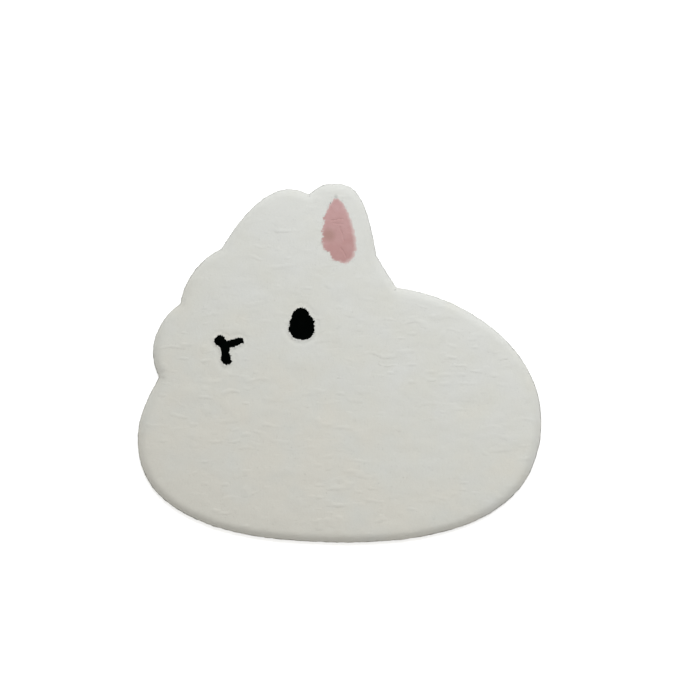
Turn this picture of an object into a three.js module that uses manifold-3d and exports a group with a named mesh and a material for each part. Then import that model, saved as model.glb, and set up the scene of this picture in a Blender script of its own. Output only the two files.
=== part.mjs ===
// A plush floor rug cut to the outline of a resting rabbit seen from its side, lying flat on the floor.
// Units are millimetres. +Z is up, and the rug's underside lies on the plane Z = 0.
// The origin is under the middle of the rug. +X runs towards the tail and +Y towards the tip of the ear.

import * as THREE from "three";
import { mergeVertices } from "three/addons/utils/BufferGeometryUtils.js";
import Module from "manifold-3d";

const wasm = await Module();
wasm.setup();

// Driving dimensions of the rug
const RUG_WIDTH = 900;
const RUG_DEPTH = 800;
const RUG_HEIGHT = 24;
const BACKING = 3;
const INSET_GAP = 0.3;

// The edge of the pile: where it bulges furthest, and how far it rounds in from there to the top. A rim slope of 1
// is a plain round, and a larger one slopes more evenly.
const BACKING_TUCK = 5;
const BULGE_HEIGHT = 8;
const RIM_ROUND = 30;
const RIM_STEPS = 7;
const RIM_SLOPE = 5 / 3;

// The shallow groove between the white pile and the coloured pile set into it
const GROOVE_DEPTH = 6;
const GROOVE_WIDTH = 4;
const GROOVE_STEPS = 2;

// How far the coloured pile is sheared below the white pile
const EAR_SHEARED = 1;
const FACE_SHEARED = 1.5;

const OUTLINE_STEP = 14;
const INSET_STEPS = 32;
const STROKE_CAP_STEPS = 8;

const RIGHT = RUG_WIDTH / 2;
const TOP = RUG_DEPTH / 2;

// The rug's outline, clockwise, as smooth stretches between these points. Each point has its place and two
// handles, one for the stretch that arrives and one for the stretch that leaves: [direction in degrees, length].
const OUTLINE = [
  { name: "ear notch", at: [-68, 376], arrive: [152, 84], leave: [40, 30] },
  { name: "ear tip", at: [-8, TOP], arrive: [180, 32], leave: [0, 58] },
  { name: "ear root", at: [82, 240], arrive: [100, 105], leave: [-60, 22] },
  { name: "nape", at: [127, 168], arrive: [122, 22], leave: [-7, 158] },
  { name: "rump", at: [RIGHT, -127], arrive: [90, 158], leave: [-90, 183] },
  { name: "belly", at: [12, -TOP], arrive: [0, 292], leave: [180, 310] },
  { name: "chest", at: [-RIGHT, -172], arrive: [-90, 148], leave: [90, 46] },
  { name: "chin notch", at: [-402, -31], arrive: [-120, 60], leave: [118, 64] },
  { name: "nose notch", at: [-355, 132], arrive: [-146, 66], leave: [81, 54] },
  { name: "brow notch", at: [-264, 254], arrive: [-155, 54], leave: [58, 112] },
];

// The pink pile inside the ear and the black pile of the eye: egg shapes, narrower towards the top. A bow moves the
// middle of the egg towards the muzzle.
const EAR = { at: [2, 292], halfWidth: 34, halfHeight: 71, taper: 0.26, bow: 5, tilt: 8 };
const EYE = { at: [-84, 87], halfWidth: 27, halfHeight: 35, taper: 0.28, bow: 0, tilt: 4 };

// The black strokes of the nose and mouth, fused where they meet
const MOUTH_MIDDLE = [-255, 38];
const MOUTH = [
  { name: "left arm", to: [-265, 49], middleWidth: 20, tipWidth: 22 },
  { name: "right arm", to: [-221, 49], middleWidth: 17, tipWidth: 12 },
  { name: "stem", to: [-251, 5], middleWidth: 17, tipWidth: 19 },
];

// A point at a distance from another, in a direction given in degrees
function away([x, y], [degrees, distance]) {
  const turn = THREE.MathUtils.degToRad(degrees);
  return new THREE.Vector2(x + distance * Math.cos(turn), y + distance * Math.sin(turn));
}

// The rug's outline as a ring of points, counter-clockwise
function rugRing() {
  const ring = OUTLINE.flatMap((from, i) => {
    const to = OUTLINE[(i + 1) % OUTLINE.length];
    const stretch = new THREE.CubicBezierCurve(
      new THREE.Vector2(...from.at),
      away(from.at, from.leave),
      away(to.at, to.arrive),
      new THREE.Vector2(...to.at),
    );
    return stretch.getSpacedPoints(Math.ceil(stretch.getLength() / OUTLINE_STEP)).slice(0, -1);
  });
  return ring.reverse();
}

// An egg-shaped ring of points, counter-clockwise
function eggRing({ at, halfWidth, halfHeight, taper, bow, tilt }) {
  const middle = new THREE.Vector2(...at);
  return Array.from({ length: INSET_STEPS }, (_, i) => {
    const turn = (i / INSET_STEPS) * 2 * Math.PI;
    const across = halfWidth * Math.cos(turn) * (1 - taper * Math.sin(turn)) - bow * Math.cos(turn) ** 2;
    const point = new THREE.Vector2(across, halfHeight * Math.sin(turn)).add(middle);
    return point.rotateAround(middle, THREE.MathUtils.degToRad(tilt));
  });
}

// A straight stroke with round ends of two widths, as a ring of points, counter-clockwise
function strokeRing({ to, middleWidth, tipWidth }) {
  const along = Math.atan2(to[1] - MOUTH_MIDDLE[1], to[0] - MOUTH_MIDDLE[0]);
  const cap = (centre, width, start) =>
    Array.from({ length: STROKE_CAP_STEPS + 1 }, (_, i) => {
      const turn = THREE.MathUtils.radToDeg(start + (i / STROKE_CAP_STEPS) * Math.PI);
      return away(centre, [turn, width / 2]);
    });
  return [
    ...cap(to, tipWidth, along - Math.PI / 2),
    ...cap(MOUTH_MIDDLE, middleWidth, along + Math.PI / 2),
  ];
}

// A ring moved outwards by a distance, or inwards where that is negative
function grown(ring, distance) {
  return ring.map((point, i) => {
    const before = ring.at(i - 1);
    const after = ring[(i + 1) % ring.length];
    const arriving = point.clone().sub(before).normalize();
    const leaving = after.clone().sub(point).normalize();
    const mitre = new THREE.Vector2(arriving.y + leaving.y, -arriving.x - leaving.x);
    return point.clone().addScaledVector(mitre, distance / (1 + arriving.dot(leaving)));
  });
}

// A closed solid through copies of one ring, each grown and set at a height, from the lowest row to the highest
function lofted(ring, rows) {
  const count = ring.length;
  const points = rows.flatMap(({ grow, z }) => grown(ring, grow).map(({ x, y }) => [x, y, z]));
  const triangles = [];
  for (let row = 0; row < rows.length - 1; row += 1) {
    for (let i = 0; i < count; i += 1) {
      const [a, b] = [row * count + i, row * count + ((i + 1) % count)];
      triangles.push([a, b, b + count], [a, b + count, a + count]);
    }
  }
  const capped = (grow) => THREE.ShapeUtils.triangulateShape(grown(ring, grow), []);
  const last = (rows.length - 1) * count;
  capped(rows[0].grow).forEach(([a, b, c]) => triangles.push([a, c, b]));
  capped(rows.at(-1).grow).forEach(([a, b, c]) => triangles.push([a + last, b + last, c + last]));
  const geometry = new THREE.BufferGeometry();
  geometry.setAttribute("position", new THREE.Float32BufferAttribute(points.flat(), 3));
  geometry.setIndex(triangles.flat());
  return geometry;
}

function solidOf(geometry) {
  const merged = mergeVertices(geometry);
  return new wasm.Manifold(
    new wasm.Mesh({
      numProp: 3,
      vertProperties: merged.attributes.position.array,
      triVerts: new Uint32Array(merged.index.array),
    }),
  );
}

function meshOf(name, solid, colour) {
  const { vertProperties, triVerts } = solid.getMesh();
  const geometry = new THREE.BufferGeometry();
  geometry.setAttribute("position", new THREE.BufferAttribute(vertProperties, 3));
  geometry.setIndex(new THREE.BufferAttribute(triVerts, 1));
  geometry.computeVertexNormals();
  const material = new THREE.MeshStandardMaterial({ color: colour, roughness: 1, metalness: 0 });
  const mesh = new THREE.Mesh(geometry, material);
  mesh.name = name;
  return mesh;
}

// Shares of a quarter turn, from 0 to 1, with the rise and the run of a round edge at each
function roundEdge(steps) {
  return Array.from({ length: steps + 1 }, (_, i) => {
    const turn = ((i / steps) * Math.PI) / 2;
    return { rise: Math.sin(turn), run: 1 - Math.cos(turn) };
  });
}

// The white pile with its backing: tucked in at the floor, bulging, then rounded over to a flat top
function slabRows() {
  const rim = roundEdge(RIM_STEPS).map(({ rise, run }) => ({
    grow: -RIM_ROUND * run,
    z: BULGE_HEIGHT + (RUG_HEIGHT - BULGE_HEIGHT) * rise ** RIM_SLOPE,
  }));
  return [
    { grow: -BACKING_TUCK, z: 0 },
    { grow: -BACKING_TUCK, z: BACKING },
    ...rim,
  ];
}

// Pile set into the white field: it stands on the backing, and its top edge is rounded over
function insetRows(sheared) {
  const top = RUG_HEIGHT - sheared;
  const edge = roundEdge(GROOVE_STEPS).map(({ rise, run }) => ({
    grow: -GROOVE_WIDTH * run,
    z: top - GROOVE_DEPTH + GROOVE_DEPTH * rise,
  }));
  return [{ grow: 0, z: BACKING + INSET_GAP }, ...edge];
}

// The room that an inset takes out of the white field, which rounds over towards it
function pocketRows() {
  const edge = roundEdge(GROOVE_STEPS).map(({ rise, run }) => ({
    grow: INSET_GAP + GROOVE_WIDTH * run,
    z: RUG_HEIGHT - GROOVE_DEPTH + GROOVE_DEPTH * rise,
  }));
  const { grow, z } = edge.at(-1);
  return [{ grow: INSET_GAP, z: BACKING }, ...edge, { grow, z: z + GROOVE_DEPTH }];
}

const fused = (rings, rows) =>
  rings.map((ring) => solidOf(lofted(ring, rows))).reduce((whole, next) => whole.add(next));

const INSETS = [
  { name: "ear_inset", rings: [eggRing(EAR)], sheared: EAR_SHEARED, colour: 0xd7a3a3 },
  { name: "eye_inset", rings: [eggRing(EYE)], sheared: FACE_SHEARED, colour: 0x0a0b0a },
  { name: "mouth_inset", rings: MOUTH.map(strokeRing), sheared: FACE_SHEARED, colour: 0x0a0b0a },
];

const rug = new THREE.Group();
const slab = solidOf(lofted(rugRing(), slabRows()));
const field = INSETS.reduce((left, { rings }) => left.subtract(fused(rings, pocketRows())), slab);
rug.add(meshOf("white_field", field, 0xe9e7dd));
for (const { name, rings, sheared, colour } of INSETS) {
  rug.add(meshOf(name, fused(rings, insetRows(sheared)), colour));
}

export default rug;
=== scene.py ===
"""A plush floor rug in the outline of a resting rabbit: its pile, its backing and a plain studio.

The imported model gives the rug's outline and the borders of its coloured fields. The pile is grown over them
as small tufts, which lean with the nap, round over at the rim and meet raggedly where two colours border.
"""

import math
from typing import NamedTuple

import bpy
import numpy as np
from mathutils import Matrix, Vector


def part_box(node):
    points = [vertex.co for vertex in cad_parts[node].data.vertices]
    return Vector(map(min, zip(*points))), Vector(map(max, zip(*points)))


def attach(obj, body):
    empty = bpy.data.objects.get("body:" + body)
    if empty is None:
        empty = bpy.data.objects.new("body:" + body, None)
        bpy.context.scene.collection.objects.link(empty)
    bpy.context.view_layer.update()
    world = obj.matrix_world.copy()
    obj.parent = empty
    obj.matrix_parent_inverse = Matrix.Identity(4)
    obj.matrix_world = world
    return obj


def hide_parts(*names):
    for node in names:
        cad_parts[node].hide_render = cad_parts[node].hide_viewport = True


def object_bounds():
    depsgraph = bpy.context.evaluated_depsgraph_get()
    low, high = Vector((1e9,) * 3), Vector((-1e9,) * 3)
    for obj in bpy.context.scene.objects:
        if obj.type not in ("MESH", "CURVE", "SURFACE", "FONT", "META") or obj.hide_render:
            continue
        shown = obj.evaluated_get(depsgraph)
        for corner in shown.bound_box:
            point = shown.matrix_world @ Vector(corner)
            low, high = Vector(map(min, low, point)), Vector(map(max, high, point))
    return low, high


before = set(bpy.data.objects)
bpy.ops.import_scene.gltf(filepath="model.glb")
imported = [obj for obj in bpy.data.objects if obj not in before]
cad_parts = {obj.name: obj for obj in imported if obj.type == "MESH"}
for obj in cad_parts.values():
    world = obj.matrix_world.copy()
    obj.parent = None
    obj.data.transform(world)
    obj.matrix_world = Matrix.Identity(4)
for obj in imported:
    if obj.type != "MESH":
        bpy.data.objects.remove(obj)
CAD_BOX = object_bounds()

bl_info = {
    "name": "Rabbit plush rug",
    "version": (1, 0, 0),
    "blender": (4, 5, 0),
    "location": "View3D > Sidebar > Rug",
    "description": "Grows the pile of a rabbit-shaped plush rug over its packed model and sets up a studio",
    "category": "Object",
}

BODY = "root"
SEED = 41
MILLIMETRE = 0.001
RUG_HEIGHT = CAD_BOX[1].z
RUG_SPAN = CAD_BOX[1] - CAD_BOX[0]


class Field(NamedTuple):
    """A coloured field: its slot, and its shares of the white lip, the clearance and the stray tufts"""

    slot: str
    lip: float
    clear: float
    stray: float


WHITE_NODE = "white_field"
WHITE_SLOT = "white_pile"
EAR_NODE = "ear_inset"
FIELDS = {
    EAR_NODE: Field("pink_pile", lip=0.15, clear=0.4, stray=1.0),
    "eye_inset": Field("black_pile", lip=1.0, clear=1.0, stray=0.3),
    "mouth_inset": Field("black_pile", lip=1.0, clear=1.0, stray=0.3),
}

# How the rug lies in the camera's square picture: the picture's side and the rug's four sides, in pixels
PICTURE_SIDE = 700
RUG_LEFT, RUG_RIGHT = 137.5, 541.5
RUG_TOP, RUG_BOTTOM = 183.5, 542.5

# What wanders at random over the rug: over how many millimetres across and along, and the seed of each
DRIFTS = {
    "swell": (46, 34, 1),
    "small swell": (21, 15, 2),
    "slant": (34, 50, 3),
    "ridge": (23, 9, 4),
    "loose rim": (8, 8, 5),
    "lean across": (24, 14, 6),
    "lean along": (30, 16, 7),
    "border": (8, 7, 8),
    "fine border": (3.2, 2.8, 9),
    "lip": (7, 7, 10),
    "parted patch": (120, 90, 11),
    "crease across": (9, 9, 12),
    "crease along": (9, 9, 13),
}


class PileSizes(bpy.types.PropertyGroup):
    """The sizes of the pile"""

    spacing: bpy.props.FloatProperty(
        name="Tuft spacing", description="Distance between neighbouring white tufts",
        default=2.75 * MILLIMETRE, unit="LENGTH")
    inset_spacing: bpy.props.FloatProperty(
        name="Coloured tuft spacing", description="Distance between neighbouring coloured tufts",
        default=1.9 * MILLIMETRE, unit="LENGTH")
    stand: bpy.props.FloatProperty(
        name="Standing height", description="Length of the tufts that bends with the nap",
        default=5 * MILLIMETRE, unit="LENGTH")
    bed: bpy.props.FloatProperty(
        name="Bed", description="How far the dense ground between the tufts lies below their tips",
        default=2.5 * MILLIMETRE, unit="LENGTH")
    thickness: bpy.props.FloatProperty(
        name="Tuft thickness", description="A tuft's width as a share of the spacing",
        default=2.0, subtype="FACTOR")
    bluntness: bpy.props.FloatProperty(
        name="Bluntness", description="How far up a tuft is at its widest, as a share of its height",
        default=0.84, subtype="FACTOR")
    nap: bpy.props.FloatProperty(
        name="Nap", description="How far the tips lie over towards the belly, as a share of their height",
        default=0.35, subtype="FACTOR")
    unevenness: bpy.props.FloatProperty(
        name="Unevenness", description="How much lower the shortest tufts are than the tallest ones",
        default=0.4 * MILLIMETRE, unit="LENGTH")
    swell: bpy.props.FloatProperty(
        name="Swell", description="Height of the soft swells in the pile's surface",
        default=0.5 * MILLIMETRE, unit="LENGTH")
    parting: bpy.props.FloatProperty(
        name="Partings", description="Height of the sparse ridges where the nap parts",
        default=0.92 * MILLIMETRE, unit="LENGTH")
    tousle: bpy.props.FloatProperty(
        name="Tousle", description="How far single tufts face away from the pile's surface", default=0.015)
    fuzz: bpy.props.FloatProperty(
        name="Fuzz", description="How far tufts stand out of the rim, or fall short of it",
        default=1.2 * MILLIMETRE, unit="LENGTH")
    raggedness: bpy.props.FloatProperty(
        name="Ragged borders", description="How far the border between two colours strays",
        default=1.5 * MILLIMETRE, unit="LENGTH")
    stray: bpy.props.FloatProperty(
        name="Stray tufts", description="How far single coloured tufts stray over their border",
        default=0.9 * MILLIMETRE, unit="LENGTH")
    rim_round: bpy.props.FloatProperty(
        name="Rim rounding", description="How far in from the outline the pile starts to round over",
        default=30 * MILLIMETRE, unit="LENGTH")
    rim_slope: bpy.props.FloatProperty(
        name="Rim slope", description="How evenly the rim slopes: 1 is a plain round", default=5 / 3)
    dome: bpy.props.FloatProperty(
        name="Dome", description="How far the pile already faces outwards where it comes to the rim",
        default=0.10, subtype="FACTOR")
    # Painted shade: the white tufts are made darker in colour towards the rim, standing in for the shade on
    # the rim.
    rim_painted_shade: bpy.props.FloatProperty(
        name="Rim shade", description="How much darker the splayed yarn at the rim looks",
        default=0.06, subtype="FACTOR")
    rim_thicker: bpy.props.FloatProperty(
        name="Rim tufts", description="How much thicker the tufts are where they splay round the rim",
        default=0.3, subtype="FACTOR")
    # Painted light: the white yarn is made lighter from the middle towards the rump, standing in for stronger
    # light on that side.
    painted_light_drift: bpy.props.FloatProperty(
        name="Tone drift", description="How much lighter the yarn gets from the middle to the rump",
        default=0.045, subtype="FACTOR")
    rim_tuck: bpy.props.FloatProperty(
        name="Rim tuck", description="How far the pile tucks in under its bulge, down to the backing",
        default=5 * MILLIMETRE, unit="LENGTH")
    backing: bpy.props.FloatProperty(
        name="Backing", description="Thickness of the backing under the pile",
        default=3 * MILLIMETRE, unit="LENGTH")
    hem: bpy.props.FloatProperty(
        name="Hem", description="How high above the floor the lowest pile at the rim starts",
        default=1.2 * MILLIMETRE, unit="LENGTH")
    lip: bpy.props.FloatProperty(
        name="Lip", description="How far the white pile stands up along a colour border",
        default=0.8 * MILLIMETRE, unit="LENGTH")
    trough: bpy.props.FloatProperty(
        name="Trough", description="How far the white pile dips just beyond that lip",
        default=0.8 * MILLIMETRE, unit="LENGTH")
    clearance: bpy.props.FloatProperty(
        name="Clearance", description="How far the white tufts keep clear of a coloured field",
        default=1.3 * MILLIMETRE, unit="LENGTH")
    sheared: bpy.props.FloatProperty(
        name="Sheared", description="How much lower the coloured pile is sheared than the white pile",
        default=0.5 * MILLIMETRE, unit="LENGTH")


class PileColours(bpy.types.PropertyGroup):
    """The colours of the yarns and of the backing"""

    # The white tones also carry painted light: the yarn is painted warm towards the chest and cooler and a
    # little lighter towards the ear and back, where the key light falls.
    white: bpy.props.FloatVectorProperty(
        name="White yarn, warm", description="Colour of the white pile towards the chest",
        subtype="COLOR", default=(0.727, 0.71, 0.645), min=0, max=1)
    white_even: bpy.props.FloatVectorProperty(
        name="White yarn, even", description="Colour of the white pile in between",
        subtype="COLOR", default=(0.712, 0.71, 0.66), min=0, max=1)
    white_cool_and_lit: bpy.props.FloatVectorProperty(
        name="White yarn, cool", description="Colour of the white pile towards the ear and back",
        subtype="COLOR", default=(0.718, 0.721, 0.689), min=0, max=1)
    pink: bpy.props.FloatVectorProperty(
        name="Pink yarn", description="Colour of the pile inside the ear",
        subtype="COLOR", default=(0.518, 0.303, 0.292), min=0, max=1)
    pink_pale: bpy.props.FloatVectorProperty(
        name="Pink yarn, pale", description="Colour of the paler patches inside the ear",
        subtype="COLOR", default=(0.583, 0.37, 0.365), min=0, max=1)
    # Painted shade: this deeper pink shades a spot at the back of the ear; the pink ground also takes it for
    # its darker patches.
    pink_deep: bpy.props.FloatVectorProperty(
        name="Pink yarn, deep", description="Colour of the worn patch inside the ear",
        subtype="COLOR", default=(0.444, 0.268, 0.24), min=0, max=1)
    pink_edge: bpy.props.FloatVectorProperty(
        name="Pink yarn, edge", description="Colour of the pink pile where it thins out at its border",
        subtype="COLOR", default=(0.68, 0.55, 0.53), min=0, max=1)
    black: bpy.props.FloatVectorProperty(
        name="Black yarn", description="Colour of the eye and the mouth",
        subtype="COLOR", default=(0.0006, 0.0012, 0.0008), min=0, max=1)
    black_soft: bpy.props.FloatVectorProperty(
        name="Black yarn, soft", description="Colour of the softer patches of the eye and the mouth",
        subtype="COLOR", default=(0.0012, 0.002, 0.0014), min=0, max=1)
    backing: bpy.props.FloatVectorProperty(
        name="Backing cloth", description="Colour of the cloth under the rug",
        subtype="COLOR", default=(0.62, 0.59, 0.52), min=0, max=1)
    backing_deep: bpy.props.FloatVectorProperty(
        name="Backing cloth, deep", description="Colour between the threads of the cloth under the rug",
        subtype="COLOR", default=(0.40, 0.37, 0.31), min=0, max=1)


class StudioSettings(bpy.types.PropertyGroup):
    """The studio's lights, floor and camera"""

    key_power: bpy.props.FloatProperty(
        name="Key light", description="Power of the large soft light beyond the ear",
        default=93, unit="POWER")
    sky: bpy.props.FloatProperty(
        name="Sky", description="Strength of the even light from all round", default=0.455)
    floor: bpy.props.FloatProperty(
        name="Floor", description="How much light the pale floor gives back", default=0.9, subtype="FACTOR")
    glow: bpy.props.FloatProperty(
        name="Floor glow", description="How much light comes through the floor, as on a light table",
        default=0.5)
    lens: bpy.props.FloatProperty(
        name="Lens", description="Focal length of the camera, in millimetres", default=85, unit="CAMERA")


def alone(obj):
    """Selects one object and nothing else, and makes it the active one."""
    bpy.ops.object.select_all(action="DESELECT")
    obj.select_set(True)
    bpy.context.view_layer.objects.active = obj


# A vector shorter than this has no direction.
SHORTEST = 1e-9


def unit(rows):
    """Rows of numbers as directions of length one."""
    return rows / np.maximum(np.linalg.norm(rows, axis=-1), SHORTEST)[..., None]


def eased(share):
    """A share from 0 to 1 that starts and ends gently."""
    return share * share * (3 - 2 * share)


def triangles_of(node):
    """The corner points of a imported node's triangles, as an array of triangle, corner and axis."""
    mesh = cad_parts[node].data
    mesh.calc_loop_triangles()
    points = np.empty(len(mesh.vertices) * 3)
    mesh.vertices.foreach_get("co", points)
    corners = np.empty(len(mesh.loop_triangles) * 3, int)
    mesh.loop_triangles.foreach_get("vertices", corners)
    return points.reshape(-1, 3)[corners].reshape(-1, 3, 3)


def across_of(triangles):
    """A vector square to each triangle, twice as long as the triangle's area."""
    return np.cross(triangles[:, 1] - triangles[:, 0], triangles[:, 2] - triangles[:, 0])


def widest_height(node):
    """The height at which a node is widest."""
    points = triangles_of(node).reshape(-1, 3)
    return float(points[points[:, 0].argmax(), 2])


# How far up an upright face can face, how close counts as the same place, and how finely places are rounded
UPRIGHT = 0.95
SAME_PLACE = 0.01 * MILLIMETRE
DECIMALS = 6


def border_of(node):
    """A node's widest outline seen from above, as an array of straight stretches with a start and an end.

    Only the edges of upright faces count, because a flat face is cut into triangles across its middle. All
    stretches run the same way, so that one which two faces share counts once."""
    triangles = triangles_of(node)
    across = across_of(triangles)
    upright = np.abs(across[:, 2]) < UPRIGHT * np.linalg.norm(across, axis=1)
    edges = np.concatenate([triangles[upright][:, [a, b]] for a, b in ((0, 1), (1, 2), (2, 0))])
    level = np.abs(edges[:, :, 2] - widest_height(node)).max(1) < SAME_PLACE
    ends = edges[level][:, :, :2].round(DECIMALS)
    one, other = ends[:, 0], ends[:, 1]
    upwards = (one[:, 0] == other[:, 0]) & (one[:, 1] > other[:, 1])
    turned = (one[:, 0] > other[:, 0]) | upwards
    ends[turned] = ends[turned, ::-1]
    return np.unique(ends, axis=0)


def ring_of(border):
    """A border's corners in their order, counter-clockwise."""
    joined = {}
    for one, other in (tuple(map(tuple, stretch)) for stretch in border.tolist()):
        joined.setdefault(one, []).append(other)
        joined.setdefault(other, []).append(one)
    ring = [next(iter(joined))]
    ahead = joined[ring[0]][0]
    while ahead != ring[0]:
        behind = ring[-1]
        ring.append(ahead)
        ahead = next(point for point in joined[ahead] if point != behind)
    ring = np.array(ring)
    after = np.roll(ring, -1, 0)
    clockwise = (ring[:, 0] * after[:, 1] - ring[:, 1] * after[:, 0]).sum() < 0
    return ring[::-1] if clockwise else ring


BORDERS = {node: border_of(node) for node in (WHITE_NODE, *FIELDS)}
BULGE_HEIGHT = widest_height(WHITE_NODE)
PLAN_AREA = float(across_of(triangles_of(WHITE_NODE))[:, 2].clip(0).sum() / 2)


def outline_sides():
    """The outline's corners, the stretch from each to the next, and the way each stretch faces."""
    ring = ring_of(BORDERS[WHITE_NODE])
    along = np.roll(ring, -1, 0) - ring
    return ring, along, unit(np.column_stack([along[:, 1], -along[:, 0]]))


def flat_box(node):
    """The lowest and the highest corner of a coloured field, seen from above."""
    return (np.array(corner[:2]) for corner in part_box(node))


POINTS_AT_ONCE = 4000


def in_parts(rows):
    """Rows split into parts that are small enough to measure at once."""
    return np.array_split(rows, 1 + len(rows) // POINTS_AT_ONCE)


def measured(points, border):
    """How far each flat point lies inside a border, negative outside it, and the border's nearest point."""
    start, along = border[:, 0], border[:, 1] - border[:, 0]
    inside, nearest = np.empty(len(points)), np.empty((len(points), 2))
    for part in in_parts(np.arange(len(points))):
        from_start = points[part, None] - start
        share = np.clip((from_start * along).sum(2) / (along**2).sum(1), 0, 1)
        away = share[..., None] * along - from_start
        gap = np.linalg.norm(away, axis=2)
        closest = gap.argmin(1)
        row = np.arange(len(part))
        height = points[part, 1, None]
        crossed = (start[:, 1] > height) != (border[:, 1, 1] > height)
        rise = np.where(along[:, 1] == 0, 1, along[:, 1])
        to_right = start[:, 0] + along[:, 0] * (height - start[:, 1]) / rise > points[part, 0, None]
        odd = (crossed & to_right).sum(1) % 2
        inside[part] = gap[row, closest] * np.where(odd, 1, -1)
        nearest[part] = points[part] + away[row, closest]
    return inside, nearest


# How many random values a drift has each way before it repeats
LATTICE = 256


def drift(points, name):
    """Smooth random values from -1 to 1 over flat points, for one of the named drifts."""
    across, along, seed = DRIFTS[name]
    lattice = np.random.default_rng(SEED + seed).uniform(-1, 1, (LATTICE, LATTICE))
    cells = points / (np.array([across, along]) * MILLIMETRE)
    cell = np.floor(cells).astype(int)
    share = eased(cells - cell)
    left, low = cell.T % LATTICE
    right, high = (cell.T + 1) % LATTICE
    below = lattice[left, low] * (1 - share[:, 0]) + lattice[right, low] * share[:, 0]
    above = lattice[left, high] * (1 - share[:, 0]) + lattice[right, high] * share[:, 0]
    return below * (1 - share[:, 1]) + above * share[:, 1]


# In spacings: how far a tuft is off its place, on the top and at the rim, and the step along the rim
OFF_PLACE = 0.32
RIM_OFF_PLACE = 0.3
RIM_STEP = 0.65


def row_gap(spacing):
    """The gap between staggered rows whose neighbours are a spacing apart."""
    return spacing * math.sqrt(3) / 2


def scattered(low, high, spacing, rng):
    """Points in a box, in staggered rows a spacing apart, each a little off its place."""
    across = np.arange(low[0], high[0], spacing)
    rows = np.arange(low[1], high[1], row_gap(spacing))
    x, y = np.meshgrid(across, rows)
    x[1::2] += spacing / 2
    points = np.stack([x.ravel(), y.ravel()], 1)
    return points + rng.uniform(-OFF_PLACE, OFF_PLACE, points.shape) * spacing


# The steps of the rim's profile, and the share of its rounding over which it comes to its full tilt
STEPS_UNDER_BULGE = 8
STEPS_OVER_BULGE = 40
RIM_START = 0.8

# How far in from the outline the top starts to dome, and how quickly
DOME_REACH = 90 * MILLIMETRE
DOME_CURVE = 1.5


def rim_profile(sizes):
    """The pile's edge from the backing up over its bulge to the flat top.

    Gives the length along it, how far in from the outline it is, its height, and its facing out and up."""
    rise = RUG_HEIGHT - BULGE_HEIGHT
    under = np.linspace(0, math.pi / 2, STEPS_UNDER_BULGE, endpoint=False)
    over = np.linspace(0, math.pi / 2, STEPS_OVER_BULGE)
    inset = np.concatenate([sizes.rim_tuck * (1 - np.sin(under)), sizes.rim_round * (1 - np.cos(over))])
    height = np.concatenate([
        BULGE_HEIGHT - (BULGE_HEIGHT - sizes.hem) * np.cos(under),
        BULGE_HEIGHT + rise * np.sin(over) ** sizes.rim_slope,
    ])
    length = np.concatenate([[0], np.hypot(np.diff(inset), np.diff(height)).cumsum()])
    facing = unit(np.stack([np.gradient(height, length), np.gradient(inset, length)], 1))
    return length, inset, height, facing


def wrapped(flat, sizes):
    """Lays the flat points inside the outline over the rug, and those near the outline down round the rim.

    Gives each point's place on the pile's surface, its normal, and how far inside the outline it is."""
    length, inset, height, facing = rim_profile(sizes)
    inside, nearest = measured(flat, BORDERS[WHITE_NODE])
    within = inside > 0
    flat, inside, nearest = flat[within], inside[within], nearest[within]
    on_rim = inside < sizes.rim_round
    to_border = unit(nearest - flat)
    at = inside[on_rim] - sizes.rim_round + length[-1]
    place = np.column_stack([flat, np.full(len(flat), RUG_HEIGHT)])
    place[on_rim, :2] = nearest[on_rim] - to_border[on_rim] * np.interp(at, length, inset)[:, None]
    place[on_rim, 2] = np.interp(at, length, height)
    start = ((sizes.rim_round - inside[on_rim]) / (RIM_START * sizes.rim_round)).clip(0, 1)
    tilt = np.interp(at, length, facing[:, 0]) * eased(start)
    fall = sizes.dome * (1 - inside / DOME_REACH).clip(0) ** DOME_CURVE
    fall[on_rim] = np.maximum(fall[on_rim], tilt)
    normal = np.column_stack([to_border * fall[:, None], np.sqrt(1 - fall**2)])
    return place, normal, inside


def banded(sizes, rng):
    """Points round the lower rim, up to where the flat points begin, given as by wrapped."""
    length, inset, height, facing = rim_profile(sizes)
    ring, along, side = outline_sides()
    corner = unit(side + np.roll(side, 1, 0))
    reach = np.concatenate([[0], np.linalg.norm(along, axis=1).cumsum()])
    rows = np.arange(sizes.spacing / 2, length[-1] - sizes.rim_round, row_gap(sizes.spacing))
    steps = np.arange(0, reach[-1], RIM_STEP * sizes.spacing)
    walked, at = (grid.ravel() for grid in np.meshgrid(steps, rows))
    walked = (walked + rng.uniform(0, sizes.spacing, len(walked))) % reach[-1]
    at = at + rng.uniform(-RIM_OFF_PLACE, RIM_OFF_PLACE, len(at)) * sizes.spacing
    stretch = np.searchsorted(reach, walked, side="right") - 1
    share = ((walked - reach[stretch]) / np.diff(reach)[stretch])[:, None]
    outward = unit(corner[stretch] * (1 - share) + np.roll(corner, -1, 0)[stretch] * share)
    flat = ring[stretch] + along[stretch] * share - outward * np.interp(at, length, inset)[:, None]
    place = np.column_stack([flat, np.interp(at, length, height)])
    out, up = (np.interp(at, length, facing[:, axis]) for axis in (0, 1))
    normal = np.column_stack([outward * out[:, None], up])
    return place, normal, np.zeros(len(place))


# Over how much of the outline a corner is softened, and how far up a point faces that needs none of it
FACING_REACH = 11 * MILLIMETRE
LEVEL_FACING = 0.9999


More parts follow.
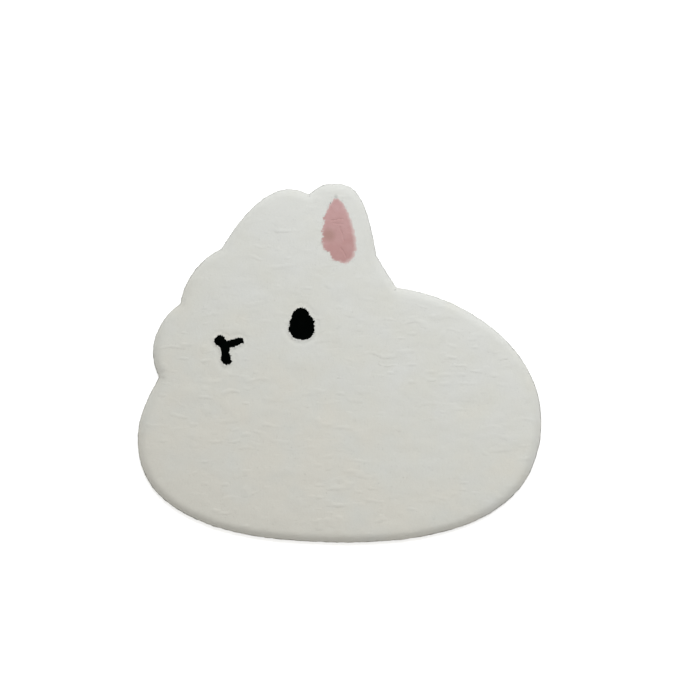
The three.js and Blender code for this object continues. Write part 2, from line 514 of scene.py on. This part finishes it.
def softened(spot, normal):
    """Normals that turn gradually round the outline's corners, as thick pile does."""
    ring, along, side = outline_sides()
    length = np.linalg.norm(along, axis=1)
    middle = ring + along / 2
    soft = normal.copy()
    for part in in_parts(np.flatnonzero(normal[:, 2] < LEVEL_FACING)):
        gap = ((spot[part, None] - middle) ** 2).sum(2)
        share = np.exp((gap.min(1)[:, None] - gap) / (2 * FACING_REACH**2)) * length
        outward = share @ side / share.sum(1)[:, None]
        soft[part, :2] = outward * np.linalg.norm(normal[part, :2], axis=1)[:, None]
    return unit(soft)


# Creases pressed into the pile inside the ear, in millimetres: from, to, half the width, and the depth
EAR_CREASES = (
    ((-17, 315), (9, 320), 1.8, 0.8),
    ((-14, 309), (9, 307), 1.6, 0.6),
    ((3, 300), (11, 274), 2.0, 0.9),
    ((3, 255), (14, 239), 1.8, 0.8),
)
CREASE_WANDER = 2.5 * MILLIMETRE


def creased(spot):
    """How deep the ear's creases press the pile down at each flat point."""
    depth = np.zeros(len(spot))
    wander = np.column_stack([drift(spot, "crease across"), drift(spot, "crease along")])
    spot = spot + CREASE_WANDER * wander
    for start, end, half_width, deepest in EAR_CREASES:
        start, along = np.array(start) * MILLIMETRE, (np.array(end) - start) * MILLIMETRE
        share = ((spot - start) @ along / (along @ along)).clip(0, 1)
        gap = np.linalg.norm(spot - start - share[:, None] * along, axis=1)
        depth += deepest * MILLIMETRE * np.exp(-((gap / (half_width * MILLIMETRE)) ** 2))
    return depth


# The way to the back of the ear, how much more ragged the pink is there, and the share of fine raggedness
EAR_BACK = (-0.85, -0.35)
EAR_BACK_RAGGED = 2
FINE_RAGGED = 0.7


def strayed(flat, node, sizes):
    """How far inside a coloured field's ragged border each flat point lies."""
    inside, _ = measured(flat, BORDERS[node])
    ragged = np.full(len(flat), sizes.raggedness)
    if node == EAR_NODE:
        low, high = flat_box(node)
        towards_back = (flat - (low + high) / 2) / ((high - low) / 2) @ EAR_BACK
        ragged *= 1 + EAR_BACK_RAGGED * towards_back.clip(0, 1)
    return inside + ragged * (drift(flat, "border") + FINE_RAGGED * drift(flat, "fine border"))


# The lip and the trough beyond it: how far out from a coloured border they are and how wide, in millimetres
LIP_AT, LIP_WIDTH = 1.5, 1.8
TROUGH_AT, TROUGH_WIDTH = 9, 5
LIP_EVEN, LIP_UNEVEN = 0.6, 0.6
LIP_REACH = 24 * MILLIMETRE

# How thin the white tufts are next to a colour, and how far out they come to their full thickness
THINNEST = 0.55
THIN_REACH = 7 * MILLIMETRE


def around(spot, node):
    """Which flat points lie in or near a coloured field."""
    low, high = flat_box(node)
    return ((spot > low - LIP_REACH) & (spot < high + LIP_REACH)).all(1)


def lipped(spot, sizes):
    """How far the white pile stands up along the coloured borders and dips a little beyond them."""
    height = np.zeros(len(spot))
    for node, field in FIELDS.items():
        near = around(spot, node)
        out = -strayed(spot[near], node, sizes) / MILLIMETRE
        uneven = LIP_EVEN + LIP_UNEVEN * drift(spot[near], "lip")
        lip = np.exp(-(((out - LIP_AT) / LIP_WIDTH) ** 2)) * uneven
        trough = np.exp(-(((out - TROUGH_AT) / TROUGH_WIDTH) ** 2))
        height[near] += np.where(out > 0, sizes.lip * lip - sizes.trough * trough, 0) * field.lip
    return height


def thinned(spot, sizes):
    """How thick a white tuft is at each flat point, as a share of its full thickness."""
    share = np.ones(len(spot))
    for node in FIELDS:
        near = around(spot, node)
        out = -strayed(leant(spot[near], sizes), node, sizes)
        thin = (THINNEST + (1 - THINNEST) * out / THIN_REACH).clip(THINNEST, 1)
        share[near] = np.minimum(share[near], thin)
    return share


# The swells, and the ridges where the nap parts: how far they slant, how rare they are, how they gather
SMALL_SWELL = 0.5
RIDGE_SLANT = 6 * MILLIMETRE
RIDGE_FROM = 0.3
RIDGED_EVEN, RIDGED_UNEVEN, RIDGED_LEAST = 0.65, 0.9, 0.15


def relief(spot, sizes):
    """How far the pile stands above its mean height: in soft swells, and in ridges where the nap parts."""
    swell = drift(spot, "swell") + SMALL_SWELL * drift(spot, "small swell")
    slant = np.column_stack([np.zeros(len(spot)), RIDGE_SLANT * drift(spot, "slant")])
    gathered = (RIDGED_EVEN + RIDGED_UNEVEN * drift(spot, "parted patch")).clip(RIDGED_LEAST)
    ridge = (drift(spot + slant, "ridge") - RIDGE_FROM).clip(0) * gathered
    return sizes.swell * swell + sizes.parting * ridge - creased(spot) + lipped(spot, sizes)


def leant(flat, sizes):
    """Where the nap lays the tips of tufts that are rooted at flat points."""
    return flat - (0, sizes.nap * sizes.stand)


class Tufts(NamedTuple):
    """Tufts, one a row: where they stand, how thick they are, how they turn and face, and their painted shade
    """

    root: np.ndarray
    middle: np.ndarray
    tip: np.ndarray
    radius: np.ndarray
    turn: np.ndarray
    facing: np.ndarray
    shade: np.ndarray

    def only(self, rows):
        """Some of the tufts."""
        return Tufts(*(part[rows] for part in self))


# How the tufts face: the step that reads the pile's slope, how soon that fades at the rim, and the lowest
SLOPE_STEP = 0.7 * MILLIMETRE
SLOPE_FADE = 4
LOWEST_FACING = 0.3

# How loosely the tufts stand out at the rim, and how far they lean and waver
LOOSE = 0.6
LEAN_ACROSS = 0.30
LEAN_ALONG = 0.5
LEAN_SPREAD = 0.08
LEAN_LEAST = 0.2
MIDDLE_LEAN = 0.6

# How deep the tufts are rooted, how low their parts go, and how much their thickness varies
ROOT_DEPTH = 1.5 * MILLIMETRE
LOWEST_TIP = 0.6 * MILLIMETRE
LOWEST_MIDDLE = 1.2 * MILLIMETRE
LOWEST_POINT = 0.3 * MILLIMETRE
THICKNESS_FROM, THICKNESS_TO = 0.85, 1.15

# Painted light and shade on the white yarn: its middle level, how soon the rim is darkest, a dim spot over
# the ear's tip
MIDDLE_PAINTED_LIGHT = 0.985
RIM_PAINTED_DARKEST = 1.15
# Painted shade: a dim spot on the white yarn over the ear's tip, where the pile parts
EAR_GAP = np.array((-8, 369)) * MILLIMETRE
EAR_GAP_SPREAD = np.array((3.5, 5)) * MILLIMETRE
EAR_GAP_PAINTED_SHADE = 0.28


def grown(place, normal, inside, sizes, spacing, rng, lower=0.0):
    """Works out tufts at places on the pile's surface."""
    spot = place[:, :2]
    count = len(spot)
    facing = softened(spot, normal) + rng.normal(0, sizes.tousle, normal.shape)
    for axis, step in enumerate(np.eye(2) * SLOPE_STEP):
        slope = (relief(spot + step, sizes) - relief(spot - step, sizes)) / (2 * SLOPE_STEP)
        facing[:, axis] -= slope * normal[:, 2].clip(0) ** SLOPE_FADE
    facing[:, 2] = facing[:, 2].clip(LOWEST_FACING)
    on_rim = 1 - normal[:, 2].clip(0)
    loose = LOOSE * drift(spot, "loose rim") + rng.uniform(-LOOSE, LOOSE, count)
    short = lower + rng.uniform(0, sizes.unevenness, count)
    out = relief(spot, sizes) - short + on_rim * sizes.fuzz * loose
    lean = np.column_stack([
        LEAN_ACROSS * drift(spot, "lean across") + rng.normal(0, LEAN_SPREAD, count),
        -sizes.nap * (1 + LEAN_ALONG * drift(spot, "lean along")) + rng.normal(0, LEAN_SPREAD, count),
        np.zeros(count),
    ])
    lean *= normal[:, 2, None].clip(LEAN_LEAST)
    lean -= normal * (lean * normal).sum(1)[:, None]
    top = place + normal * out[:, None]
    root = place - normal * (sizes.stand + ROOT_DEPTH)
    tip = top + lean * sizes.stand
    middle = root + sizes.bluntness * (top - root) + MIDDLE_LEAN * lean * sizes.stand
    tip[:, 2] = tip[:, 2].clip(LOWEST_TIP)
    middle[:, 2] = middle[:, 2].clip(LOWEST_MIDDLE)
    radius = spacing * sizes.thickness / 2 * rng.uniform(THICKNESS_FROM, THICKNESS_TO, count)
    radius *= 1 + sizes.rim_thicker * on_rim
    turn = rng.uniform(0, 2 * math.pi, count)
    # Painted shade: the yarn is made darker towards the rim
    edge = (RIM_PAINTED_DARKEST - RIM_PAINTED_DARKEST * inside / sizes.rim_round).clip(0, 1)
    shade = 1 - sizes.rim_painted_shade * eased(edge)
    # Painted light: the yarn is made lighter from the middle towards the rump
    shade *= MIDDLE_PAINTED_LIGHT + sizes.painted_light_drift * spot[:, 0] / CAD_BOX[1].x
    # Painted shade: a dim spot over the ear's tip, where the pile parts
    shade -= EAR_GAP_PAINTED_SHADE * np.exp(-(((spot - EAR_GAP) / EAR_GAP_SPREAD) ** 2).sum(1))
    return Tufts(root, middle, tip, radius, turn, unit(facing), shade)


# A tuft has a point at its root, a ring of corners round its thickest part and a point at its tip.
SIDES = 5
CORNERS = SIDES + 2

# How far the normals at a tuft's corners follow the pile's surface rather than the tuft itself
FOLLOW_ROOT, FOLLOW_RING, FOLLOW_TIP = 0.4, 0.9, 0.97
FOLLOW = np.array([FOLLOW_ROOT, *[FOLLOW_RING] * SIDES, FOLLOW_TIP])

# The flat map that colours can be baked onto, which leaves a margin round the rug
BAKE_MAP = "OFBake"
BAKE_MARGIN = 0.02


def tuft_corners(tufts):
    """The corner points of each tuft, from its root over the ring round its thickest part to its tip."""
    angle = tufts.turn[:, None] + np.arange(SIDES) * 2 * math.pi / SIDES
    ring = np.stack([np.cos(angle), np.sin(angle), np.zeros_like(angle)], 2)
    axis = unit(tufts.tip - tufts.root)
    along = (ring * axis[:, None]).sum(2) / (1 + axis[:, 2:])
    ring -= (axis + (0, 0, 1))[:, None] * along[..., None]
    ring *= tufts.radius[:, None, None]
    points = np.concatenate([tufts.root[:, None], tufts.middle[:, None] + ring, tufts.tip[:, None]], 1)
    points[..., 2] = points[..., 2].clip(LOWEST_POINT)
    return points


def tuft_faces():
    """The corners of one tuft's triangles, from its root up to the ring and from the ring up to its tip."""
    one = 1 + np.arange(SIDES)
    other = np.roll(one, -1)
    below = np.stack([other, one, np.zeros_like(one)], 1)
    above = np.stack([one, other, np.full_like(one, SIDES + 1)], 1)
    return np.concatenate([below, above])


def tuft_mesh(name, tufts):
    """One mesh of many tufts, each a closed five-sided stalk."""
    count = len(tufts.root)
    points = tuft_corners(tufts)
    faces = tuft_faces()
    corners = np.arange(count)[:, None] * CORNERS + faces.ravel()
    mesh = bpy.data.meshes.new(name)
    mesh.vertices.add(count * CORNERS)
    mesh.vertices.foreach_set("co", points.ravel())
    mesh.loops.add(corners.size)
    mesh.loops.foreach_set("vertex_index", corners.ravel())
    mesh.polygons.add(count * len(faces))
    mesh.polygons.foreach_set("loop_start", np.arange(count * len(faces)) * 3)
    mesh.update(calc_edges=True)
    mesh.shade_smooth()
    plan = points.reshape(-1, 3)[corners.ravel(), :2]
    share = (plan - np.array(CAD_BOX[0][:2])) / np.array(RUG_SPAN[:2])
    mapped = share * (1 - 2 * BAKE_MARGIN) + BAKE_MARGIN
    mesh.uv_layers.new(name=BAKE_MAP).uv.foreach_set("vector", mapped.astype(np.float32).ravel())
    # The tufts' shade: painted light and shade for white tufts, how deep the colour is at a coloured border
    shade = mesh.attributes.new("shade", "FLOAT", "POINT")
    shade.data.foreach_set("value", np.repeat(tufts.shade, CORNERS))
    own = np.empty(count * CORNERS * 3, np.float32)
    mesh.vertex_normals.foreach_get("vector", own)
    follow = FOLLOW[None, :, None]
    normals = unit(own.reshape(count, CORNERS, 3) * (1 - follow) + tufts.facing[:, None] * follow)
    mesh.normals_split_custom_set_from_vertices(normals.reshape(-1, 3))
    return mesh


def piece_of(name, mesh, material):
    """Puts a finished mesh into the scene as a piece of the rug."""
    piece = bpy.data.objects.new(name, mesh)
    bpy.context.scene.collection.objects.link(piece)
    mesh.materials.append(material)
    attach(piece, BODY)
    return piece


# The finish of the yarns and of the backing cloth
YARN_ROUGHNESS = 0.9
YARN_SHEEN = 0.2
YARN_SHINE = 0.1
SHEEN_ROUGHNESS = 0.6
CLOTH_ROUGHNESS = 0.95
NOISE_DETAIL = 3


class Finish:
    """A matt material, whose colour is worked out from the flat place on the rug"""

    def __init__(self, name, roughness, sheen, shine=YARN_SHINE):
        self.material = bpy.data.materials.new(name)
        self.material.use_nodes = True
        self.nodes, self.links = self.material.node_tree.nodes, self.material.node_tree.links
        self.shader = self.nodes["Principled BSDF"]
        self.shader.inputs["Roughness"].default_value = roughness
        self.shader.inputs["Specular IOR Level"].default_value = shine
        self.shader.inputs["Sheen Weight"].default_value = sheen
        self.shader.inputs["Sheen Roughness"].default_value = SHEEN_ROUGHNESS
        place = self.nodes.new("ShaderNodeTexCoord")
        flat = self.nodes.new("ShaderNodeMapping")
        flat.inputs["Scale"].default_value = (1, 1, 0)
        self.links.new(place.outputs["Object"], flat.inputs["Vector"])
        self.place = flat.outputs["Vector"]

    def coloured(self, colour):
        """The finished material, in a colour that comes from a node."""
        self.links.new(colour, self.shader.inputs["Base Color"])
        return self.material

    def noise(self, patch):
        """Soft noise over patches of a size."""
        noise = self.nodes.new("ShaderNodeTexNoise")
        noise.inputs["Scale"].default_value = 1 / patch
        noise.inputs["Detail"].default_value = NOISE_DETAIL
        self.links.new(self.place, noise.inputs["Vector"])
        return noise.outputs["Fac"]

    def shade(self):
        """The shade that the tufts carry: painted light and shade on the white yarn, colour depth at the pink
        border.
        """
        shade = self.nodes.new("ShaderNodeAttribute")
        shade.attribute_name = "shade"
        return shade.outputs["Fac"]

    def from_place(self, operation, vector):
        """The value of a vector operation between the place on the rug and a fixed vector."""
        worked = self.nodes.new("ShaderNodeVectorMath")
        worked.operation = operation
        worked.inputs[1].default_value = vector
        self.links.new(self.place, worked.inputs[0])
        return worked.outputs["Value"]

    def combined(self, operation, one, other):
        """The value of an operation on two values."""
        worked = self.nodes.new("ShaderNodeMath")
        worked.operation = operation
        self.links.new(one, worked.inputs[0])
        self.links.new(other, worked.inputs[1])
        return worked.outputs["Value"]

    def ranged(self, value, low, high, start=0, end=1, kind="LINEAR"):
        """A value that goes from a start to an end while another goes from low to high."""
        ranged = self.nodes.new("ShaderNodeMapRange")
        ranged.interpolation_type = kind
        ranged.inputs["From Min"].default_value = low
        ranged.inputs["From Max"].default_value = high
        ranged.inputs["To Min"].default_value = start
        ranged.inputs["To Max"].default_value = end
        self.links.new(value, ranged.inputs["Value"])
        return ranged.outputs["Result"]

    def ramp(self, value, first, last, *between):
        """A colour that changes with a value, through stops that each have a place and a colour."""
        ramp = self.nodes.new("ShaderNodeValToRGB")
        stops = ramp.color_ramp.elements
        for stop, (place, colour) in zip(stops, (first, last)):
            stop.position = place
            stop.color = (*colour, 1)
        for place, colour in between:
            stops.new(place).color = (*colour, 1)
        self.links.new(value, ramp.inputs["Fac"])
        return ramp.outputs["Color"]

    def mix(self, share, one, other):
        """A mix of two colours, each of them a plain colour or the output of a node."""
        mix = self.nodes.new("ShaderNodeMix")
        mix.data_type = "RGBA"
        # A Mix node has sockets for each type of data, and these are its colours.
        first, second, result = mix.inputs[6], mix.inputs[7], mix.outputs[2]
        self.links.new(share, mix.inputs[0])
        for socket, colour in ((first, one), (second, other)):
            if isinstance(colour, bpy.types.NodeSocket):
                self.links.new(colour, socket)
            else:
                socket.default_value = (*colour, 1)
        return result

    def dimmed(self, colour):
        """A colour from a node, lightened and darkened by the tufts' painted light and shade."""
        dimmed = self.nodes.new("ShaderNodeVectorMath")
        dimmed.operation = "SCALE"
        self.links.new(colour, dimmed.inputs["Vector"])
        self.links.new(self.shade(), dimmed.inputs["Scale"])
        return dimmed.outputs["Vector"]


# The patches of a yarn in two tones, and where the noise is all the one and all the other
PLAIN_PATCH = 30 * MILLIMETRE
PLAIN_ONE, PLAIN_OTHER = 0.35, 0.65


def plain_yarn(name, one, other, sheen=YARN_SHEEN, shine=YARN_SHINE):
    """Matt yarn whose colour wanders softly between two tones."""
    yarn = Finish(name, YARN_ROUGHNESS, sheen, shine)
    return yarn.coloured(yarn.ramp(yarn.noise(PLAIN_PATCH), (PLAIN_ONE, one), (PLAIN_OTHER, other)))


def black_yarn(name, colours):
    """Matt black yarn with no shine."""
    return plain_yarn(name, colours.black, colours.black_soft, sheen=0, shine=0)


# The patches of the white yarn, its painted light that cools and lightens it towards the ear and back, and
# where it is warm, even and cool
WHITE_PATCH = 90 * MILLIMETRE
TOWARDS_PAINTED_KEY_LIGHT = (0.35, 0.75, 0)
WARM, EVEN, COOL = 0.22, 0.45, 0.72


def white_yarn(name, colours, shaded):
    """Matt white yarn in soft patches, with painted light: warmer at the chest, cooler and lighter at the ear
    and back.
    """
    yarn = Finish(name, YARN_ROUGHNESS, YARN_SHEEN)
    # Painted light: cooler and a little lighter towards the key light, over the ear and back
    slope = yarn.from_place("DOT_PRODUCT", TOWARDS_PAINTED_KEY_LIGHT)
    cool = yarn.combined("ADD", yarn.noise(WHITE_PATCH), slope)
    ends = (WARM, colours.white), (COOL, colours.white_cool_and_lit)
    colour = yarn.ramp(cool, *ends, (EVEN, colours.white_even))
    # The tufts take on their painted light and shade; the ground doesn't
    return yarn.coloured(yarn.dimmed(colour) if shaded else colour)


# The tones of the pink yarn: its patches, how they pale upwards, and a spot of painted shade at the back and
# its reach
PINK_PATCH = 22 * MILLIMETRE
PALER_UPWARDS = (0, 4, 0)
PALER_FROM, PALER_TO = 1.45, 2.05
PAINTED_SHADE_SPOT = (-24 * MILLIMETRE, 284 * MILLIMETRE, 0)
PAINTED_SHADE_INNER, PAINTED_SHADE_OUTER = 4 * MILLIMETRE, 22 * MILLIMETRE
PAINTED_SHADE_MOST = 0.85


def ear_yarn(name, colours):
    """Matt pink yarn: paler towards the tip and along its border, with a deeper spot of painted shade at the
    back.
    """
    yarn = Finish(name, YARN_ROUGHNESS, YARN_SHEEN)
    rising = yarn.combined("ADD", yarn.noise(PINK_PATCH), yarn.from_place("DOT_PRODUCT", PALER_UPWARDS))
    colour = yarn.mix(yarn.ranged(rising, PALER_FROM, PALER_TO), colours.pink, colours.pink_pale)
    # Painted shade: a deeper pink round a spot at the back of the ear
    from_spot = yarn.from_place("DISTANCE", PAINTED_SHADE_SPOT)
    painted_shade = yarn.ranged(from_spot, PAINTED_SHADE_INNER, PAINTED_SHADE_OUTER, PAINTED_SHADE_MOST, 0, "SMOOTHSTEP")
    colour = yarn.mix(painted_shade, colour, colours.pink_deep)
    return yarn.coloured(yarn.mix(yarn.shade(), colours.pink_edge, colour))


# The backing cloth's threads: how they waver and stand up, and where the weave is dark and pale. A wave
# texture repeats every 2 pi / 20.
THREAD = 4.5 * MILLIMETRE
WAVE_LENGTH = 2 * math.pi / 20
THREAD_WAVER = 0.6
THREAD_DEPTH = 0.4 * MILLIMETRE
WEAVE_DARK, WEAVE_PALE = 0.3, 0.8


def backing_cloth(name, colours):
    """Plain woven backing cloth, with its threads in the colour and as a shallow bump."""
    cloth = Finish(name, CLOTH_ROUGHNESS, sheen=0)
    threads = []
    for direction in ("X", "Y"):
        wave = cloth.nodes.new("ShaderNodeTexWave")
        wave.bands_direction = direction
        wave.inputs["Scale"].default_value = WAVE_LENGTH / THREAD
        wave.inputs["Distortion"].default_value = THREAD_WAVER
        cloth.links.new(cloth.place, wave.inputs["Vector"])
        threads.append(wave.outputs["Fac"])
    weave = cloth.combined("MAXIMUM", *threads)
    bump = cloth.nodes.new("ShaderNodeBump")
    bump.inputs["Distance"].default_value = THREAD_DEPTH
    cloth.links.new(weave, bump.inputs["Height"])
    cloth.links.new(bump.outputs["Normal"], cloth.shader.inputs["Normal"])
    colour = cloth.ramp(weave, (WEAVE_DARK, colours.backing_deep), (WEAVE_PALE, colours.backing))
    return cloth.coloured(colour)


def named(node, ending):
    """A piece's name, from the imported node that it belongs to."""
    return node.split("_")[0] + ending


class RUG_OT_ground(bpy.types.Operator):
    """Make the ground that the tufts grow from, with the backing cloth under it"""

    bl_idname = "rug.ground"
    bl_label = "Ground and backing"

    # Where the ground starts above the backing, its least height there, the margin at the start of the rim,
    # and how far down the underside faces
    ABOVE_BACKING = 0.5 * MILLIMETRE
    LEAST_GROUND = 1 * MILLIMETRE
    RIM_MARGIN = 1 * MILLIMETRE
    FACING_DOWN = -0.9

    def execute(self, context):
        sizes, colours = context.scene.pile_sizes, context.scene.pile_colours
        yarns = {
            "white_pile": white_yarn("white yarn ground", colours, shaded=False),
            "pink_pile": plain_yarn("pink yarn ground", colours.pink, colours.pink_deep),
            "black_pile": black_yarn("black yarn ground", colours),
        }
        cloth = backing_cloth("backing cloth", colours)
        slots = {WHITE_NODE: WHITE_SLOT, **{node: field.slot for node, field in FIELDS.items()}}
        for node, slot in slots.items():
            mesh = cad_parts[node].data.copy()
            mesh.materials.clear()
            ground = piece_of(named(node, "_ground"), mesh, yarns[slot])
            alone(ground)
            bpy.ops.object.mode_set(mode="EDIT")
            bpy.ops.mesh.select_all(action="SELECT")
            bpy.ops.mesh.remove_doubles(threshold=SAME_PLACE)
            bpy.ops.object.mode_set(mode="OBJECT")
            self.lower(mesh, sizes)
            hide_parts(node)
            if node == WHITE_NODE:
                self.lay_cloth(mesh, cloth)
        return {"FINISHED"}

    def lower(self, mesh, sizes):
        """Leaves room for the tufts: the top goes straight down, and the rim goes in as well."""
        points = np.empty(len(mesh.vertices) * 3)
        mesh.vertices.foreach_get("co", points)
        points = points.reshape(-1, 3)
        normals = np.empty(len(mesh.vertices) * 3)
        mesh.vertices.foreach_get("normal", normals)
        inside, _ = measured(points[:, :2], BORDERS[WHITE_NODE])
        on_rim = inside < sizes.rim_round - self.RIM_MARGIN
        raised = points[:, 2] > sizes.backing + self.ABOVE_BACKING
        down = np.where(on_rim[:, None], -normals.reshape(-1, 3), (0, 0, -1))
        points[raised] += down[raised] * sizes.bed
        points[raised, 2] = points[raised, 2].clip(sizes.backing + self.LEAST_GROUND)
        mesh.vertices.foreach_set("co", points.ravel())
        mesh.update()

    def lay_cloth(self, mesh, cloth):
        """Gives the underside the backing cloth."""
        mesh.materials.append(cloth)
        for face in mesh.polygons:
            if face.normal.z < self.FACING_DOWN and face.center.z < self.ABOVE_BACKING:
                face.material_index = 1


class RUG_OT_white_pile(bpy.types.Operator):
    """Grow the white pile over the ground, out to the rim and down round it"""

    bl_idname = "rug.white_pile"
    bl_label = "White pile"

    PIECES = 5

    def execute(self, context):
        sizes, colours = context.scene.pile_sizes, context.scene.pile_colours
        rng = np.random.default_rng(SEED)
        yarn = white_yarn("white yarn", colours, shaded=True)
        low, high = (np.array(corner[:2]) for corner in CAD_BOX)
        flat = scattered(low, high, sizes.spacing, rng)
        for node, field in FIELDS.items():
            flat = flat[strayed(leant(flat, sizes), node, sizes) < -sizes.clearance * field.clear]
        laid = [np.concatenate(parts) for parts in zip(wrapped(flat, sizes), banded(sizes, rng))]
        tufts = grown(*laid, sizes, sizes.spacing, rng)
        place = laid[0]
        tufts.radius[:] *= thinned(place[:, :2], sizes)
        rows = np.argsort(tufts.root[:, 1], kind="stable")
        for number, band in enumerate(np.array_split(rows, self.PIECES), 1):
            name = f"white_pile_{number}"
            piece_of(name, tuft_mesh(name, tufts.only(band)), yarn)
        return {"FINISHED"}


class RUG_OT_coloured_pile(bpy.types.Operator):
    """Grow the pink pile inside the ear and the black pile of the eye and mouth"""

    bl_idname = "rug.coloured_pile"
    bl_label = "Coloured pile"

    # How far round a field its tufts are tried
    MARGIN = 8 * MILLIMETRE

    # The yarn at the border: how deep its colour is, how much paler towards the rump, and how far in
    EDGE_DEPTH = 0.9
    EDGE_PALER = 0.8
    EDGE_REACH = 8 * MILLIMETRE

    def execute(self, context):
        sizes, colours = context.scene.pile_sizes, context.scene.pile_colours
        rng = np.random.default_rng(SEED + 1)
        yarns = {
            "pink_pile": ear_yarn("pink yarn", colours),
            "black_pile": black_yarn("black yarn", colours),
        }
        for node, field in FIELDS.items():
            low, high = flat_box(node)
            flat = scattered(low - self.MARGIN, high + self.MARGIN, sizes.inset_spacing, rng)
            inside = strayed(leant(flat, sizes), node, sizes)
            loose = rng.exponential(sizes.stray, len(flat)) * field.stray
            kept = inside > -sizes.clearance / 2 - loose
            laid = wrapped(flat[kept], sizes)
            tufts = grown(*laid, sizes, sizes.inset_spacing, rng, sizes.sheared * field.lip)
            towards_rump = ((flat[kept, 0] - low[0]) / (high[0] - low[0])).clip(0, 1)
            depth = self.EDGE_DEPTH - self.EDGE_PALER * towards_rump + inside[kept] / self.EDGE_REACH
            # For coloured tufts the shade holds how deep their yarn's colour is near the border, not painted
            # light
            tufts.shade[:] = depth.clip(0, 1)
            name = named(node, "_pile")
            piece_of(name, tuft_mesh(name, tufts), yarns[field.slot])
        return {"FINISHED"}


class RUG_OT_studio(bpy.types.Operator):
    """Set up the floor, the lights and a camera that looks straight down at the rug"""

    bl_idname = "rug.studio"
    bl_label = "Studio"

    # The floor, the lights and the camera, in metres but for the sensor
    FLOOR_RADIUS = 60
    FLOOR_CORNERS = 96
    FLOOR_DROP = 0.5 * MILLIMETRE
    FLOOR_ROUGHNESS = 0.8
    FLOOR_SHINE = 0.1
    GLOW_COLOUR = (1, 1, 0.99, 1)
    SKY_COLOUR = (1, 0.99, 0.97, 1)
    KEY_COLOUR = (0.97, 0.99, 1)
    KEY_WIDTH, KEY_DEPTH = 2.6, 1.6
    KEY_PLACE = (0.4, 2.4, 2.9)
    SENSOR_WIDTH = 36

    def execute(self, context):
        studio = context.scene.studio
        self.make_floor(studio)
        self.make_lights(context, studio)
        self.make_camera(context, studio)
        return {"FINISHED"}

    def make_floor(self, studio):
        bpy.ops.object.select_all(action="DESELECT")
        bpy.ops.mesh.primitive_circle_add(
            vertices=self.FLOOR_CORNERS, radius=self.FLOOR_RADIUS, fill_type="NGON",
            location=(0, 0, -self.FLOOR_DROP))
        floor = bpy.context.object
        floor.name = "studio_floor"
        bpy.ops.object.transform_apply()
        material = bpy.data.materials.new("pale floor")
        material.use_nodes = True
        shader = material.node_tree.nodes["Principled BSDF"]
        shader.inputs["Base Color"].default_value = (studio.floor, studio.floor, studio.floor, 1)
        shader.inputs["Roughness"].default_value = self.FLOOR_ROUGHNESS
        shader.inputs["Specular IOR Level"].default_value = self.FLOOR_SHINE
        shader.inputs["Emission Color"].default_value = self.GLOW_COLOUR
        shader.inputs["Emission Strength"].default_value = studio.glow
        floor.data.materials.append(material)

    def make_lights(self, context, studio):
        world = bpy.data.worlds.new("studio sky")
        context.scene.world = world
        world.use_nodes = True
        sky = world.node_tree.nodes["Background"]
        sky.inputs["Color"].default_value = self.SKY_COLOUR
        sky.inputs["Strength"].default_value = studio.sky
        lamp = bpy.data.lights.new("key light", "AREA")
        lamp.shape = "RECTANGLE"
        lamp.size = self.KEY_WIDTH
        lamp.size_y = self.KEY_DEPTH
        lamp.energy = studio.key_power
        lamp.color = self.KEY_COLOUR
        key = bpy.data.objects.new("key light", lamp)
        key.location = self.KEY_PLACE
        key.rotation_euler = (-key.location).to_track_quat("-Z", "Y").to_euler()
        context.scene.collection.objects.link(key)
        context.scene.view_settings.view_transform = "Standard"
        context.scene.view_settings.look = "None"

    def make_camera(self, context, studio):
        pixel = RUG_SPAN.x / (RUG_RIGHT - RUG_LEFT)
        across = (PICTURE_SIDE / 2 - (RUG_LEFT + RUG_RIGHT) / 2) * pixel
        along = ((RUG_TOP + RUG_BOTTOM) / 2 - PICTURE_SIDE / 2) * pixel
        lens = bpy.data.cameras.new("camera")
        lens.lens = studio.lens
        lens.sensor_width = self.SENSOR_WIDTH
        distance = PICTURE_SIDE * pixel * lens.lens / lens.sensor_width
        camera = bpy.data.objects.new("camera", lens)
        camera.location = (across, along, BULGE_HEIGHT + distance)
        context.scene.collection.objects.link(camera)
        context.scene.camera = camera


class RUG_PT_sidebar(bpy.types.Panel):
    """Lists the operators that make the rug and its studio, and their settings"""

    bl_idname = "RUG_PT_sidebar"
    bl_label = "Rabbit plush rug"
    bl_space_type = "VIEW_3D"
    bl_region_type = "UI"
    bl_category = "Rug"

    def draw(self, context):
        for operator in OPERATORS:
            self.layout.operator(operator.bl_idname)
        for settings in (context.scene.pile_sizes, context.scene.pile_colours, context.scene.studio):
            for name in settings.__annotations__:
                self.layout.prop(settings, name)


OPERATORS = (RUG_OT_ground, RUG_OT_white_pile, RUG_OT_coloured_pile, RUG_OT_studio)
CLASSES = (PileSizes, PileColours, StudioSettings, *OPERATORS, RUG_PT_sidebar)


def register():
    for cls in CLASSES:
        bpy.utils.register_class(cls)
    bpy.types.Scene.pile_sizes = bpy.props.PointerProperty(type=PileSizes)
    bpy.types.Scene.pile_colours = bpy.props.PointerProperty(type=PileColours)
    bpy.types.Scene.studio = bpy.props.PointerProperty(type=StudioSettings)


def unregister():
    del bpy.types.Scene.pile_sizes, bpy.types.Scene.pile_colours, bpy.types.Scene.studio
    for cls in reversed(CLASSES):
        bpy.utils.unregister_class(cls)


def main():
    register()
    bpy.ops.rug.ground()
    bpy.ops.rug.white_pile()
    bpy.ops.rug.coloured_pile()
    bpy.ops.rug.studio()


if __name__ == "__main__":
    main()
